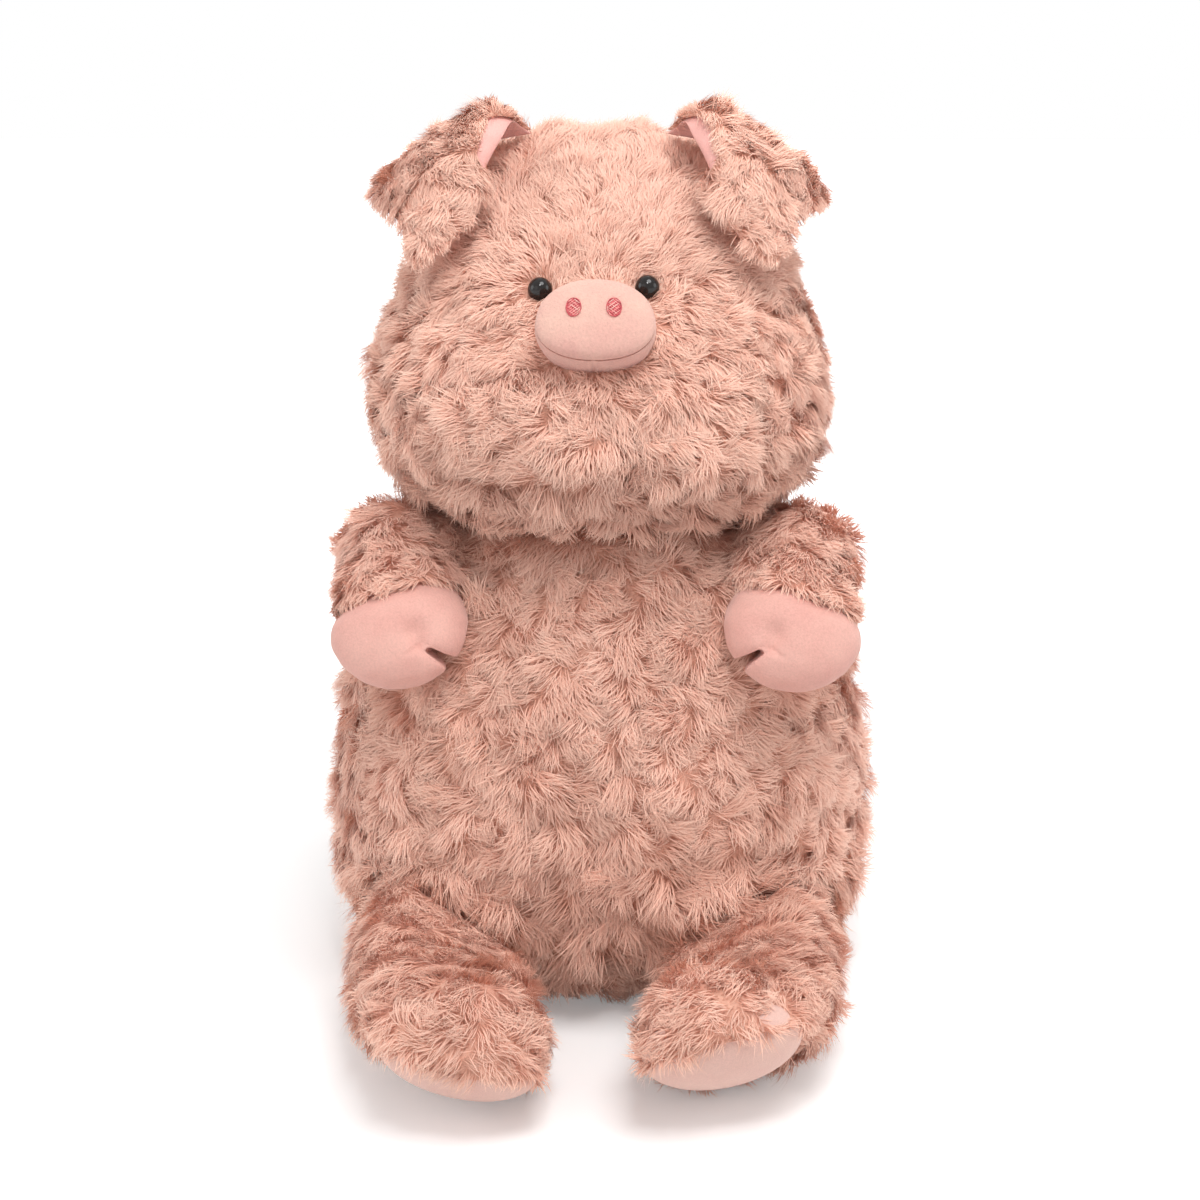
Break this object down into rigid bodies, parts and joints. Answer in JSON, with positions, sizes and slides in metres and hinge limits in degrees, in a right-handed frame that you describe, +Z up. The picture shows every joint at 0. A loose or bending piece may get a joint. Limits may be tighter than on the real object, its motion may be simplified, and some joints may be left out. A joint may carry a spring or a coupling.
{
  "type": "plush pig",
  "caption": "Sitting soft toy with a large round head, folded ears, padded oval snout, short arms with cleft hooves and stubby legs with oval soles.",
  "frame": {"origin": "centre of the flat seat that the toy sits on", "axes": "+Z up from the seat to the crown; the toy looks along -Y, and its left side is at +X"},
  "size_m": [0.287, 0.3725, 0.451],
  "materials": {
    "long_pile_plush": "matte",
    "short_pile_fabric": "matte",
    "nostril_thread": "satin",
    "stuffing": "matte",
    "eye_plastic": "gloss",
    "washer_plastic": "matte"
  },
  "bodies": {
    "body": {"body_cover": "long_pile_plush", "body_filling": "stuffing"},
    "head": {"head_cover": "long_pile_plush", "head_filling": "stuffing", "snout_band": "short_pile_fabric", "snout_face": "short_pile_fabric", "snout_filling": "stuffing", "nostril_left": "nostril_thread", "eye_left": "eye_plastic", "eye_washer_left": "washer_plastic", "nostril_right": "nostril_thread", "eye_right": "eye_plastic", "eye_washer_right": "washer_plastic"},
    "ear_left": {"ear_outer_left": "long_pile_plush", "ear_lining_left": "short_pile_fabric"},
    "ear_right": {"ear_outer_right": "long_pile_plush", "ear_lining_right": "short_pile_fabric"},
    "arm_left": {"sleeve_left": "long_pile_plush", "hoof_left": "short_pile_fabric", "arm_filling_left": "stuffing"},
    "arm_right": {"sleeve_right": "long_pile_plush", "hoof_right": "short_pile_fabric", "arm_filling_right": "stuffing"},
    "leg_left": {"leg_cover_left": "long_pile_plush", "sole_left": "short_pile_fabric", "leg_filling_left": "stuffing"},
    "leg_right": {"leg_cover_right": "long_pile_plush", "sole_right": "short_pile_fabric", "leg_filling_right": "stuffing"},
    "tail": {"tail": "long_pile_plush"}
  },
  "joints": [
    {"name": "neck_turn", "type": "hinge", "parent": "body", "child": "head", "pos_m": [0, 0, 0.253], "axis": [0, 0, 1], "range_deg": [-15, 15], "stiffness_Nm_per_rad": 0.5},
    {"name": "ear_left_lift", "type": "hinge", "parent": "head", "child": "ear_left", "pos_m": [0.06469, -0.01495, 0.4226], "axis": [-0.766, 0, 0.6428], "range_deg": [0, 30], "stiffness_Nm_per_rad": 0.1},
    {"name": "ear_right_lift", "type": "hinge", "parent": "head", "child": "ear_right", "pos_m": [-0.06468, -0.01495, 0.42259], "axis": [-0.766, 0, -0.6428], "range_deg": [0, 30], "stiffness_Nm_per_rad": 0.1},
    {"name": "arm_left_swing", "type": "hinge", "parent": "body", "child": "arm_left", "pos_m": [0.08797, -0.02995, 0.21884], "axis": [0, 0, 1], "range_deg": [0, 30], "stiffness_Nm_per_rad": 0.2},
    {"name": "arm_right_swing", "type": "hinge", "parent": "body", "child": "arm_right", "pos_m": [-0.08797, -0.02995, 0.21884], "axis": [0, 0, -1], "range_deg": [0, 30], "stiffness_Nm_per_rad": 0.2},
    {"name": "leg_left_spread", "type": "hinge", "parent": "body", "child": "leg_left", "pos_m": [0.08251, -0.06611, 0.03949], "axis": [0, 0, 1], "range_deg": [0, 15], "stiffness_Nm_per_rad": 0.4},
    {"name": "leg_right_spread", "type": "hinge", "parent": "body", "child": "leg_right", "pos_m": [-0.08251, -0.06611, 0.03949], "axis": [0, 0, -1], "range_deg": [0, 15], "stiffness_Nm_per_rad": 0.4},
    {"name": "tail_wag", "type": "hinge", "parent": "body", "child": "tail", "pos_m": [-0.00025, 0.10467, 0.0757], "axis": [0, 0, 1], "range_deg": [-20, 20], "stiffness_Nm_per_rad": 0.02}
  ]
}
